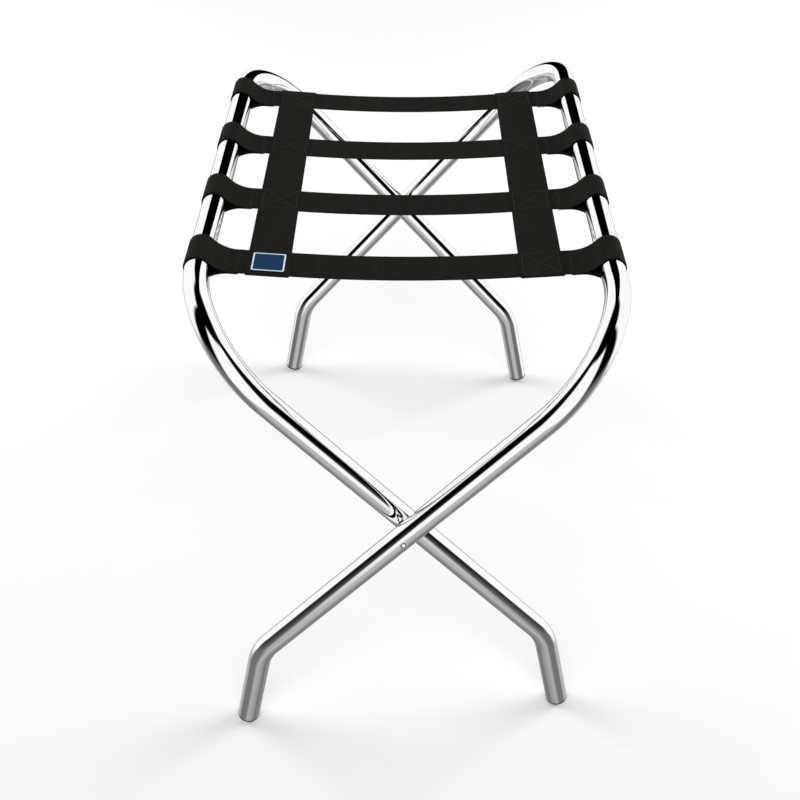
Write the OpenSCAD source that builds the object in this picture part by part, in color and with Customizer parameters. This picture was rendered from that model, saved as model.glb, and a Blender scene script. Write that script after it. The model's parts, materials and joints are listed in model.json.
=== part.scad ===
// Folding luggage rack.
// Two bent tube frames cross like scissors and turn on a rivet at each end.
// Webbing straps looped round the two rails carry the luggage and stop the rack from opening further.
// Origin: on the floor, under the middle of the rack. X runs across from rail to rail,
// Y along the rails and Z up. Millimetres.

/* [Rack] */
// Overall length along the rails, over the outer frame's tube
rack_length = 623; // [560:1:700]
// Overall width across the two rails, over the tube
rack_width = 380.6; // [340:0.1:420]
// Height of the top of the rails above the floor
rack_height = 500.8; // [470:0.1:540]
// Height of the two pivot rivets above the floor
pivot_height = 279; // [255:1:300]
// Height at which the legs turn down into the feet
knee_height = 111; // [90:1:130]
// Distance between the middles of the left and right feet at the floor
foot_spread = 331.6; // [310:0.1:360]

/* [Tubing] */
// Outside diameter of the tube
tube_d = 22.2; // [19:0.1:25.4]
// Wall thickness of the tube
tube_wall = 1.2; // [0.9:0.1:2]
// Radius of the bend from rail to leg, to the middle of the tube
rail_bend_r = 96.3; // [70:0.1:110]
// Radius of the bend from leg to foot, to the middle of the tube
knee_bend_r = 66; // [40:1:90]
// How far bending draws the tube's wall in, per side
bend_draw = 0.05; // [0.05:0.01:0.1]

/* [Pivots] */
// Gap between the inner and the outer frame's tubes where they cross
pivot_gap = 1; // [0.8:0.1:3]
// Diameter of the rivet's shank
rivet_d = 4; // [3:0.1:6]
// Diameter of the rivet's domed head
rivet_head_d = 7; // [6.6:0.1:10]
// Height of the rivet's domed head
rivet_head_h = 1.8; // [1.2:0.1:2.5]
// Diameter of the rolled tail that closes the rivet
rivet_tail_d = 6.4; // [6:0.1:9]
// Thickness of the rolled tail
rivet_tail_h = 1; // [0.6:0.1:2]
// Diameter of the hollow in the rivet's tail
rivet_hollow_d = 2; // [1:0.1:2.5]
// Depth of the hollow in the rivet's tail
rivet_hollow_l = 3; // [1.5:0.5:6]
// Outside diameter of the washer between the tubes
washer_d = 12; // [9:0.5:16]
// Running clearance round the rivet, per side
pivot_fit = 0.05; // [0.02:0.01:0.1]

/* [Feet] */
// Thickness of the cap's rim below the tube's end
cap_rim = 2.2; // [1:0.1:4]
// Radius of the cap's domed glide
cap_dome_r = 17; // [15:0.5:25]
// Depth of the flat worn onto the dome where it meets the floor
cap_flat = 0.7; // [0.4:0.1:1]
// Length of the plug that goes up inside the tube
cap_plug = 16; // [8:1:25]
// Clearance between the cap and the tube, per side
cap_fit = 0.05; // [0.02:0.01:0.1]

/* [Webbing] */
// Width of the webbing
webbing_w = 38.1; // [30:0.1:42]
// Thickness of the webbing
webbing_t = 1; // [0.8:0.1:1.6]
// Distance between the middles of neighbouring cross straps
strap_spacing = 110.6; // [95:0.1:114]
// Depth of the luggage bed below the top of the rails, in the middle of a cross strap
bed_drop = 20.8; // [19:0.1:31]
// Slope of a cross strap where a long strap crosses it, in degrees
bed_slope = 4.2; // [2:0.1:6]
// Distance from a rail's middle in to the middle of the long strap beside it
long_strap_inset = 59.7; // [56:0.1:75]
// Straight stretch of a cross strap between its sag and the long strap's edge
sag_margin = 2; // [1:0.5:6]
// Free space between the long strap's edge and the end of the loop's return ply
flap_notch = 6; // [3:0.5:8]
// Straight stretch of the loop's lower ply between the stitches and the turn down round the rail
loop_lead = 4.5; // [3:0.5:6]
// How far past the end cross straps' edges the long straps' folds are centred
fold_reach = 0.3; // [0.2:0.1:3]
// How far the long straps' folded ends stop short of the end cross straps' inner edges
tuck_short = 2; // [1:0.5:12]
// Free space between the rail and the webbing that wraps it
wrap_gap = 0.3; // [0.2:0.05:0.6]
// Free space between sewn layers of webbing
sew_gap = 0.05; // [0.02:0.01:0.1]

/* [Sewing] */
// Width of a row of stitches
thread_w = 0.9; // [0.5:0.1:1.5]
// Height by which a row of stitches stands proud
thread_h = 0.3; // [0.2:0.1:0.5]
// Distance between the two rows that close a loop
row_pitch = 1.7; // [1.6:0.1:2]
// Distance from the webbing's edge to the stitches
stitch_margin = 3; // [2:0.5:6]

/* [Label] */
// Width of the woven label, across the rack
label_w = 30; // [20:1:34]
// Depth of the woven label, along the rack
label_l = 29; // [20:1:34]
// Thickness of the woven label
label_t = 0.6; // [0.4:0.1:1]
// Distance from the label's edge to its stitches
label_margin = 1.5; // [1:0.1:3]

/* [Hidden] */
tube_r = tube_d / 2;
bore_r = tube_r - tube_wall;
// Length by which a bend's ends lap inside the straight runs' walls, which makes them one solid
bend_lap = 0.4;
// How far a cutting tool runs past what it cuts
past = 1;
// Points of an outline nearer than this are one point
same_point = 0.01;
rail_x = rack_width / 2 - tube_r;
rail_z = rack_height - tube_r;
outer_y = rack_length / 2 - tube_r;
inner_y = outer_y - tube_d - pivot_gap;

// A frame's upper part is flat: it leans from its rail through the pivot to the knee.
leg_lean = atan2(rail_x, rail_z - pivot_height);
knee_x = (pivot_height - knee_height) * tan(leg_lean);
foot_x = foot_spread / 2;
foot_lean = atan2(foot_x - knee_x, knee_height);
knee_turn = leg_lean - foot_lean;
knee_trim = knee_bend_r * tan(knee_turn / 2);
leg_run = (rail_z - knee_height) / cos(leg_lean) - rail_bend_r - knee_trim;
foot_length = knee_height / cos(foot_lean);

// The glide's ball is centred on the foot's middle line, and the floor trims a flat off it.
dome_up = (cap_dome_r - cap_flat) / cos(foot_lean);
rim_up = dome_up - sqrt(pow(cap_dome_r, 2) - pow(tube_r, 2));
tube_end_up = rim_up + cap_rim;
foot_run = foot_length - knee_trim - tube_end_up;

rivet_r = rivet_d / 2;
rivet_hole_r = rivet_r + pivot_fit;
head_ball_r = (pow(rivet_head_d / 2, 2) + pow(rivet_head_h, 2)) / (2 * rivet_head_h);
grip = outer_y - inner_y + tube_d;

// Cross strap, seen along the rails: a shallow sag between the long straps, then a straight
// slope through the crossing and the seam, then the loop round the rail.
ply = webbing_t + sew_gap;
long_strap_x = rail_x - long_strap_inset;
crossing_x = long_strap_x - webbing_w / 2 - sag_margin;
flap_x = long_strap_x + webbing_w / 2 + flap_notch;
seam_x = flap_x + 2 * row_pitch;
tuck_x = seam_x + loop_lead;
wrap_r = tube_r + wrap_gap + webbing_t / 2;
bed_rise = crossing_x * tan(bed_slope) / 2;
bed_height = rack_height - bed_drop;
rail_at = [rail_x, rail_z];
up = [-sin(bed_slope), cos(bed_slope)];

end_strap_y = 1.5 * strap_spacing;
fold_y = end_strap_y + webbing_w / 2 + fold_reach;
tuck_l = fold_reach + webbing_w - tuck_short;
long_top = 1.5 * webbing_t + sew_gap;
stitch_box = webbing_w - 2 * stitch_margin;

sag_steps = 8;
arc_steps = 6;
wrap_steps = 26;
fold_steps = 8;
$fn = 72;

chrome = "silver";
dark_plastic = "dimgray";
black_webbing = [0.13, 0.13, 0.12];
black_thread = [0.22, 0.22, 0.21];
navy = [0.06, 0.16, 0.36];

// ---- Bent tube frames ----

module tube_section(draw) {
    difference() {
        circle(tube_r - draw);
        circle(bore_r + draw);
    }
}

// Straight tube from the origin along +X.
module straight_tube(length) {
    rotate([90, 0, 90])
        linear_extrude(length)
            tube_section(0);
}

// Bend from the origin: it starts along +X and turns towards +Y.
// Its wall is drawn in, so that its ends lap inside the walls of the straight runs beside it.
module bent_tube(radius, angle) {
    lap = bend_lap / radius * 180 / PI;
    translate([0, radius, 0])
        rotate([0, 0, -90 - lap])
            rotate_extrude(angle = angle + 2 * lap)
                translate([radius, 0])
                    tube_section(bend_draw);
}

// Puts the next run at the far end of a bend.
module after_bend(radius, angle) {
    translate([radius * sin(angle), radius * (1 - cos(angle)), 0])
        rotate([0, 0, angle])
            children();
}

// One arm of a frame, from the end of the straight rail to the foot: it starts along +X and its leg runs along +Y.
module frame_arm() {
    bent_tube(rail_bend_r, 90);
    after_bend(rail_bend_r, 90) {
        straight_tube(leg_run);
        translate([leg_run, 0, 0])
            rotate([-90, 0, 0]) {
                bent_tube(knee_bend_r, knee_turn);
                after_bend(knee_bend_r, knee_turn)
                    straight_tube(foot_run);
            }
    }
}

// A whole frame with its rail on the left and its feet on the right.
module frame(leg_y) {
    rail_half = leg_y - rail_bend_r;
    difference() {
        translate([-rail_x, 0, rail_z])
            rotate([0, 90 - leg_lean, 0]) {
                rotate([90, 0, 0])
                    linear_extrude(2 * rail_half, center = true)
                        tube_section(0);
                for (side = [0, 1])
                    mirror([0, side, 0])
                        rotate([0, 0, -90])
                            translate([rail_half, 0, 0])
                                frame_arm();
            }
        for (side = [-1, 1])
            translate([0, side * leg_y, pivot_height])
                rotate([90, 0, 0])
                    cylinder(h = tube_d + 2 * past, r = rivet_hole_r, center = true);
    }
}

module inner_frame() {
    color(chrome)
        frame(inner_y);
}

module outer_frame() {
    color(chrome)
        rotate([0, 0, 180])
            frame(outer_y);
}

// ---- Pivots ----

// Puts a piece that is drawn upwards from the outer tube's outside onto the front (-1) or rear (1) pivot,
// so that its +Z points in towards the middle of the rack.
module at_pivot(end) {
    translate([0, end * (outer_y + tube_r), pivot_height])
        rotate([end * 90, 0, 0])
            children();
}

module pivot_rivet(end) {
    color(chrome)
        at_pivot(end)
            difference() {
                union() {
                    intersection() {
                        translate([0, 0, head_ball_r - rivet_head_h - pivot_fit])
                            sphere(head_ball_r);
                        translate([0, 0, -rivet_head_h - pivot_fit])
                            cylinder(h = rivet_head_h, r = head_ball_r);
                    }
                    translate([0, 0, -pivot_fit])
                        cylinder(h = grip + 2 * pivot_fit, r = rivet_r);
                    translate([0, 0, grip + pivot_fit])
                        cylinder(h = rivet_tail_h, d = rivet_tail_d);
                }
                translate([0, 0, grip + pivot_fit + rivet_tail_h - rivet_hollow_l])
                    cylinder(h = rivet_hollow_l + past, d = rivet_hollow_d);
            }
}

module pivot_washer(end) {
    color(dark_plastic)
        at_pivot(end)
            translate([0, 0, tube_d + pivot_fit])
                difference() {
                    cylinder(h = pivot_gap - 2 * pivot_fit, d = washer_d);
                    translate([0, 0, -past])
                        cylinder(h = pivot_gap + 2 * past, r = rivet_hole_r + pivot_fit);
                }
}

// ---- Foot caps ----

// The cap of a foot on the right: its axis leans with the foot, and the floor cuts its glide flat.
module foot_cap(leg_y) {
    color(dark_plastic)
        difference() {
            translate([foot_x, leg_y, 0])
                rotate([0, -foot_lean, 0]) {
                    intersection() {
                        translate([0, 0, dome_up])
                            sphere(cap_dome_r);
                        translate([0, 0, dome_up - 2 * cap_dome_r])
                            cylinder(h = rim_up - dome_up + 2 * cap_dome_r, r = tube_r);
                    }
                    translate([0, 0, rim_up])
                        cylinder(h = cap_rim - cap_fit, r = tube_r);
                    translate([0, 0, rim_up])
                        cylinder(h = cap_rim + cap_plug, r = bore_r - cap_fit);
                }
            translate([foot_x, leg_y, -cap_dome_r])
                cube([4 * tube_d, 4 * tube_d, 2 * cap_dome_r], center = true);
        }
}

// ---- Webbing ----

// Unit vector square to the path at point i, on its left hand.
function side_of(path, i) =
    let (
        a = path[max(i - 1, 0)],
        b = path[min(i + 1, len(path) - 1)],
        d = (b - a) / norm(b - a)
    )
    [-d[1], d[0]];

// Outline of a ribbon of thickness t that follows a path.
function ribbon(path, t) = concat(
    [for (i = [0 : len(path) - 1]) path[i] + side_of(path, i) * t / 2],
    [for (i = [len(path) - 1 : -1 : 0]) path[i] - side_of(path, i) * t / 2]
);

function arc(centre, r, from, to, steps) =
    [for (i = [0 : steps]) centre + r * [cos(from + (to - from) * i / steps), sin(from + (to - from) * i / steps)]];

// Height of a cross strap's middle layer at x, out to the crossing, and along the slope past it.
function bed_z(x) = bed_height - webbing_t / 2 + bed_rise * pow(x / crossing_x, 2);
function slope_at(x, down) = [x, bed_z(crossing_x) + (x - crossing_x) * tan(bed_slope)] - down * up;

// Radius of the arc that leaves the slope at point p on the given side (1 above, -1 below)
// and touches the wrap round the rail from outside.
function gusset_r(p, above) =
    let (to_rail = rail_at - p)
    (to_rail * to_rail - wrap_r * wrap_r) / (2 * (wrap_r + above * (to_rail * up)));

top_start = slope_at(seam_x, 0);
top_r = gusset_r(top_start, 1);
top_centre = top_start + top_r * up;
top_turn = atan2(rail_at[1] - top_centre[1], rail_at[0] - top_centre[0]);
low_start = slope_at(tuck_x, ply);
low_r = gusset_r(low_start, -1);
low_centre = low_start - low_r * up;
low_turn = atan2(rail_at[1] - low_centre[1], rail_at[0] - low_centre[0]);

// Half of a cross strap, from its middle out over the right rail and back under to the flap's end.
half_strap = concat(
    [for (i = [0 : sag_steps]) [crossing_x * i / sag_steps, bed_z(crossing_x * i / sag_steps)]],
    arc(top_centre, top_r, bed_slope - 90, top_turn, arc_steps),
    arc(rail_at, wrap_r, top_turn + 180, low_turn - 180, wrap_steps),
    arc(low_centre, low_r, low_turn, bed_slope + 90, arc_steps),
    [slope_at(flap_x, ply)]
);
// The same path without the doubled points where one stretch meets the next.
clean_half = [
    for (i = [0 : len(half_strap) - 1])
        if (i == 0 || norm(half_strap[i] - half_strap[max(i - 1, 0)]) > same_point) half_strap[i]
];
whole_strap = concat(
    [for (i = [len(clean_half) - 1 : -1 : 1]) [-clean_half[i][0], clean_half[i][1]]],
    clean_half
);

module cross_strap(index) {
    color(black_webbing)
        translate([0, (index - 1.5) * strap_spacing, 0])
            rotate([90, 0, 0])
                linear_extrude(webbing_w, center = true)
                    polygon(ribbon(whole_strap, webbing_t));
}

// Puts a piece onto the slope of the cross straps under the left (-1) or right (1) long strap:
// its XY plane is the cross straps' middle layer.
module on_slope(side) {
    mirror([side < 0 ? 1 : 0, 0, 0])
        translate([long_strap_x, 0, slope_at(long_strap_x, 0)[1]])
            rotate([0, -bed_slope, 0])
                children();
}

// Half of a long strap, seen across it: from its middle out, round the end strap's edge and back under it.
half_long = concat(
    [[0, ply]],
    arc([fold_y, 0], ply, 90, -90, fold_steps),
    [[fold_y - tuck_l, -ply]]
);
whole_long = concat(
    [for (i = [len(half_long) - 1 : -1 : 1]) [-half_long[i][0], half_long[i][1]]],
    half_long
);

module long_strap(side) {
    color(black_webbing)
        on_slope(side)
            rotate([90, 0, 90])
                linear_extrude(webbing_w, center = true)
                    polygon(ribbon(whole_long, webbing_t));
}

// ---- Sewing ----

module rectangle_ring(w, l) {
    difference() {
        square([w, l], center = true);
        square([w - 2 * thread_w, l - 2 * thread_w], center = true);
    }
}

// A box with a cross in it, as sewn through both straps.
module box_and_cross() {
    rectangle_ring(stitch_box, stitch_box);
    intersection() {
        square(stitch_box, center = true);
        for (turn = [45, -45])
            rotate(turn)
                square([2 * stitch_box, thread_w], center = true);
    }
}

module crossing_stitches(side, crossings) {
    color(black_thread)
        on_slope(side)
            for (index = crossings)
                translate([0, (index - 1.5) * strap_spacing, long_top + sew_gap])
                    linear_extrude(thread_h)
                        box_and_cross();
}

// Two rows across the end of every cross strap, which close its loop.
module loop_stitches(side) {
    color(black_thread)
        on_slope(side)
            for (index = [0 : 3])
                for (row = [0, 1])
                    translate([
                        (flap_x + (row + 0.5) * row_pitch - long_strap_x) / cos(bed_slope),
                        (index - 1.5) * strap_spacing,
                        webbing_t / 2 + sew_gap + thread_h / 2
                    ])
                        cube([thread_w, stitch_box, thread_h], center = true);
}

// ---- Label ----

module at_label() {
    on_slope(-1)
        translate([0, -end_strap_y, long_top + sew_gap])
            children();
}

module label() {
    color(navy)
        at_label()
            translate([-label_w / 2, -label_l / 2, 0])
                cube([label_w, label_l, label_t]);
}

module label_stitches() {
    color("white")
        at_label()
            translate([0, 0, label_t + sew_gap])
                linear_extrude(thread_h)
                    rectangle_ring(label_w - 2 * label_margin, label_l - 2 * label_margin);
}

inner_frame();
outer_frame();
pivot_rivet(-1);  // front_pivot_rivet
pivot_rivet(1);  // rear_pivot_rivet
pivot_washer(-1);  // front_pivot_washer
pivot_washer(1);  // rear_pivot_washer
foot_cap(-inner_y);  // inner_front_foot_cap
foot_cap(inner_y);  // inner_rear_foot_cap
mirror([1, 0, 0]) foot_cap(-outer_y);  // outer_front_foot_cap
mirror([1, 0, 0]) foot_cap(outer_y);  // outer_rear_foot_cap
cross_strap(0);  // front_cross_strap
cross_strap(1);  // front_middle_cross_strap
cross_strap(2);  // rear_middle_cross_strap
cross_strap(3);  // rear_cross_strap
long_strap(-1);  // left_long_strap
long_strap(1);  // right_long_strap
crossing_stitches(-1, [1, 2, 3]);  // left_crossing_stitches
crossing_stitches(1, [0, 1, 2, 3]);  // right_crossing_stitches
loop_stitches(-1);  // left_loop_stitches
loop_stitches(1);  // right_loop_stitches
label();
label_stitches();
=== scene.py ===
# %% [markdown]
# # A folding luggage rack
# Two bent chrome tubes cross like scissors and turn on a rivet at each end.
# Four straps of black webbing run from rail to rail and two more cross them.
# Every cell below makes one thing, says what it is on the real rack, and prints what it measured.
# The model that was drawn in CAD comes first. It fixes every size, so the pieces made here are laid
# straight onto it, in metres, with the floor at z = 0 and y running along the rails.

# %% Load the CAD model
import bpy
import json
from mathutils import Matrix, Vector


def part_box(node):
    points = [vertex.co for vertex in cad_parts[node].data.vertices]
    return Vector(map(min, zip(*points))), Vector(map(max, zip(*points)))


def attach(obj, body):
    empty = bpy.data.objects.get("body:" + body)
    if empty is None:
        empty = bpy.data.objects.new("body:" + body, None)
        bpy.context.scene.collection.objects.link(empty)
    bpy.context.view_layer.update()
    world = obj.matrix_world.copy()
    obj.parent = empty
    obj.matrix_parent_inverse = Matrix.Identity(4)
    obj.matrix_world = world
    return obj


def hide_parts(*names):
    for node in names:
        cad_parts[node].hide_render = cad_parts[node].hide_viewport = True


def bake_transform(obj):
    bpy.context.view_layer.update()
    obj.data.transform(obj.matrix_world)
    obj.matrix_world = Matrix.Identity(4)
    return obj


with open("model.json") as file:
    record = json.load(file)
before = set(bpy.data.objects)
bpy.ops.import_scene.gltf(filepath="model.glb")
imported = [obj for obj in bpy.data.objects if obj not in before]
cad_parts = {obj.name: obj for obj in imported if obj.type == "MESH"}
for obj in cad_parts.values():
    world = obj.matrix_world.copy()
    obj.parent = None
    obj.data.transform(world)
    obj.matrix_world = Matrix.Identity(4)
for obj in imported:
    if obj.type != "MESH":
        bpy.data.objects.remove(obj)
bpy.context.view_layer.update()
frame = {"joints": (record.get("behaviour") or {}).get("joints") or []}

import json
import math

import bpy
import numpy as np
from mathutils import Matrix

# %% [markdown]
# ## Sizes
# The boxes of the CAD pieces give where everything stands. The few sizes that a box doesn't show, such
# as the radius of a bend, are written here once, as the tube bender or the sewing room would have them.

# %% Sizes of the tubing
TUBE_R = 0.0111
BORE_R = 0.0099
RAIL_BEND_R = 0.0963
KNEE_BEND_R = 0.066
KNEE_HEIGHT = 0.111
FOOT_X = 0.1658
PIVOT_HEIGHT = frame["joints"][0]["pos_m"][2]

outer_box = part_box("outer_frame")
inner_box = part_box("inner_frame")
OUTER_Y = outer_box[1][1] - TUBE_R
INNER_Y = inner_box[1][1] - TUBE_R
RAIL_X = -inner_box[0][0] - TUBE_R
RAIL_Z = inner_box[1][2] - TUBE_R

LEG_LEAN = math.atan2(RAIL_X, RAIL_Z - PIVOT_HEIGHT)
KNEE_X = (PIVOT_HEIGHT - KNEE_HEIGHT) * math.tan(LEG_LEAN)
FOOT_LEAN = math.atan2(FOOT_X - KNEE_X, KNEE_HEIGHT)
print(f"rails at x = {RAIL_X:.4f}, z = {RAIL_Z:.4f}; legs lean {math.degrees(LEG_LEAN):.2f} degrees")

# %% Sizes of the feet and pivots
CAP_DOME_R = 0.017
CAP_FLAT = 0.0007
CAP_RIM = 0.0022
CAP_PLUG = 0.016
DOME_UP = (CAP_DOME_R - CAP_FLAT) / math.cos(FOOT_LEAN)
RIM_UP = DOME_UP - math.sqrt(CAP_DOME_R**2 - TUBE_R**2)
TUBE_END_UP = RIM_UP + CAP_RIM

RIVET_R = 0.002
HEAD_R = 0.0035
HEAD_H = 0.0024
TAIL_R = 0.0032
TAIL_H = 0.001
HOLLOW_R = 0.001
HOLLOW_DEPTH = 0.003
WASHER_R = 0.006
WASHER_EDGE_R = 0.00025
PIVOT_GAP = 0.001
FIT = 0.00005  # left free between two parts that touch
EDGE_R = 0.0003
print(f"the tubes end {TUBE_END_UP * 1000:.2f} mm above the floor, along their own axis")

# %% Sizes of the webbing
WEB_W = 0.0381
WEB_T = 0.0009
SEW_GAP = 0.00005  # between two layers that are sewn together
PLY = WEB_T + SEW_GAP
RAIL_PLAY = 0.0003  # between a loop and its rail
WRAP_R = TUBE_R + RAIL_PLAY + WEB_T / 2
SLOPE = math.radians(4.2)
ROW_PITCH = 0.0017

# Places along a cross strap: the long strap's middle, the end of the sag, the raw end of the flap
# underneath, and where the upper and the lower layer leave the slope for the rail
LONG_INSET, CROSSING_MARGIN, FLAP_MARGIN, TUCK_MARGIN = 0.0597, 0.002, 0.006, 0.0045
LONG_X = RAIL_X - LONG_INSET
CROSSING_X = LONG_X - WEB_W / 2 - CROSSING_MARGIN
FLAP_X = LONG_X + WEB_W / 2 + FLAP_MARGIN
SEAM_X = FLAP_X + 2 * ROW_PITCH
TUCK_X = SEAM_X + TUCK_MARGIN

BED_RISE = CROSSING_X * math.tan(SLOPE) / 2
BED_LIFT = 0.0006
BED_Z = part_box("front_cross_strap")[0][2] + BED_LIFT

CROSS_STRAPS = [f"{place}_cross_strap" for place in ("front", "front_middle", "rear_middle", "rear")]
STRAP_Y = [(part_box(node)[0][1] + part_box(node)[1][1]) / 2 for node in CROSS_STRAPS]
print("cross straps at y =", np.round(STRAP_Y, 4).tolist())

# %% [markdown]
# ## From formulas to meshes
# A piece here is a grid of points worked out with numpy as one array: rows run along the piece and
# columns run round it. `skin` numbers the four corners of every cell of such a grid, and closes it where
# the last row or column meets the first. `make_mesh` turns points and faces into a Blender object. It
# also measures the volume that the faces enclose: a negative one means that they point inwards, and then
# every face is turned over. The object stays at the origin and its place is in its points.

# %% A grid's faces
def skin(rows, cols, wrap_rows=False, wrap_cols=False, copies=1):
    """Corner numbers of the cells of a grid, and each corner's own row and column.

    Cell (i, j) has the corners (i, j), (i, j+1), (i+1, j+1), (i+1, j). Copies of the grid follow
    each other in the list of points, rows times cols apart.
    """
    i, j = np.meshgrid(
        np.arange(rows - (not wrap_rows)), np.arange(cols - (not wrap_cols)), indexing="ij"
    )
    row = np.stack([i, i, i + 1, i + 1], -1).reshape(-1, 4)
    col = np.stack([j, j + 1, j + 1, j], -1).reshape(-1, 4)
    quads = (row % rows) * cols + col % cols
    step = np.arange(copies)[:, None, None] * rows * cols
    quads = (quads[None] + step).reshape(-1, 4)
    return quads, np.tile(row, (copies, 1)), np.tile(col, (copies, 1))


def end_caps(rows, cols, copies=1):
    """Faces with cols corners that close the first and the last row of every copy of the grid."""
    first = np.arange(cols)[::-1]
    last = (rows - 1) * cols + np.arange(cols)
    step = np.arange(copies)[:, None] * rows * cols
    return np.concatenate([first[None] + step, last[None] + step])


def enclosed(points, faces):
    """Volume inside closed faces: the sum over their triangles of a . (b x c) / 6."""
    total = 0.0
    for block in faces:
        a = points[block[:, :1]]
        b, c = points[block[:, 1:-1]], points[block[:, 2:]]
        total += float((a * np.cross(b, c)).sum()) / 6
    return total

# %% A Blender object from arrays
def make_mesh(name, points, faces, uv=None, normals=None):
    """Object called name from points (n, 3) and blocks of faces, with a UV pair for every corner if given."""
    points = np.asarray(points, float).reshape(-1, 3)
    volume = enclosed(points, faces)
    if volume < 0:
        faces = [block[:, ::-1] for block in faces]
        uv = None if uv is None else [block[:, ::-1] for block in uv]
    corners = np.concatenate([block.ravel() for block in faces])
    sizes = np.concatenate([np.full(len(block), block.shape[1]) for block in faces])
    mesh = bpy.data.meshes.new(name)
    mesh.vertices.add(len(points))
    mesh.vertices.foreach_set("co", points.astype(np.float32).ravel())
    mesh.loops.add(len(corners))
    mesh.loops.foreach_set("vertex_index", corners.astype(np.int32))
    mesh.polygons.add(len(sizes))
    mesh.polygons.foreach_set("loop_start", (np.cumsum(sizes) - sizes).astype(np.int32))
    mesh.update(calc_edges=True)
    mesh.validate()
    mesh.shade_smooth()
    if uv is not None:
        layer = mesh.uv_layers.new(name="cloth")
        flat = np.concatenate([block.reshape(-1, 2) for block in uv])
        layer.uv.foreach_set("vector", flat.astype(np.float32).ravel())
    if normals is not None:
        mesh.normals_split_custom_set_from_vertices(normals.reshape(-1, 3).tolist())
    thing = bpy.data.objects.new(name, mesh)
    bpy.context.scene.collection.objects.link(thing)
    print(f"{name}: {len(points)} points, {len(sizes)} faces, {abs(volume) * 1e9:.0f} mm3")
    return thing

# %% [markdown]
# ## The chrome frames
# Each frame is one length of 22 mm steel tube, bent four times and plated afterwards. A mirror finish
# shows every flaw of a mesh, so the tube isn't built from cylinders that meet at the bends. It is one
# skin: a circle carried along the middle line. The middle line is made of straight runs and arcs,
# whose points, directions and side vectors all have exact formulas, and so have the surface normals.

# %% Straight runs and bends
ACROSS = np.array([0.0, 1.0, 0.0])


def unit(v):
    """v divided by its length, for one vector or for rows of them."""
    return v / np.linalg.norm(v, axis=-1, keepdims=True)


def straight(start, along, length, count):
    """Points start + s * along with s from 0 to length, and their direction, along."""
    s = np.linspace(0, length, count)[:, None]
    return start + s * along, np.tile(along, (count, 1))


def bend(start, along, inward, radius, angle, count):
    """Arc that leaves start in the direction along and curves towards inward.

    Points: start + radius * (inward * (1 - cos a) + along * sin a), with a from 0 to angle.
    Directions: inward * sin a + along * cos a.
    """
    a = np.linspace(0, angle, count)[:, None]
    points = start + radius * (inward * (1 - np.cos(a)) + along * np.sin(a))
    return points, inward * np.sin(a) + along * np.cos(a)

# %% The middle line of a frame
def frame_line(leg_y):
    """Points, directions and side vectors of a frame's middle line, with its rail on the left.

    Half of the frame runs from the middle of its rail to a foot. The rail, its bend and the leg lie in one
    leaning plane, whose normal is their side vector. From the knee on, the side vector is square to both y
    and the direction. The other half is its mirror image in y.
    """
    down = np.array([math.sin(LEG_LEAN), 0, -math.cos(LEG_LEAN)])
    foot = np.array([math.sin(FOOT_LEAN), 0, -math.cos(FOOT_LEAN)])
    leaning = np.cross(down, ACROSS)
    turn = LEG_LEAN - FOOT_LEAN
    trim = KNEE_BEND_R * math.tan(turn / 2)
    leg = (RAIL_Z - KNEE_HEIGHT) / math.cos(LEG_LEAN) - RAIL_BEND_R - trim
    shin = KNEE_HEIGHT / math.cos(FOOT_LEAN) - trim - TUBE_END_UP
    runs = [straight(np.array([-RAIL_X, 0, RAIL_Z]), ACROSS, leg_y - RAIL_BEND_R, 9)]
    runs.append(bend(runs[-1][0][-1], ACROSS, down, RAIL_BEND_R, math.pi / 2, 73))
    runs.append(straight(runs[-1][0][-1], down, leg, 13))
    upper = sum(len(p) for p, _ in runs)
    runs.append(bend(runs[-1][0][-1], down, unit(foot - down * (foot @ down)), KNEE_BEND_R, turn, 25))
    runs.append(straight(runs[-1][0][-1], foot, shin, 7))
    points = np.concatenate([p for p, _ in runs])
    along = np.concatenate([d for _, d in runs])
    side = np.where(np.arange(len(points))[:, None] < upper, leaning, np.cross(-ACROSS, along))
    keep = np.r_[True, np.linalg.norm(np.diff(points, axis=0), axis=1) > 1e-7]
    points, along, side = points[keep], along[keep], side[keep]
    other = np.array([1, -1, 1])
    return (
        np.concatenate([points[:0:-1] * other, points]),
        np.concatenate([-along[:0:-1] * other, along]),
        np.concatenate([side[:0:-1] * other, side]),
    )


inner_line = frame_line(INNER_Y)
length = np.linalg.norm(np.diff(inner_line[0], axis=0), axis=1).sum()
print(f"the inner frame is bent from {length * 1000:.0f} mm of tube")

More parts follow.
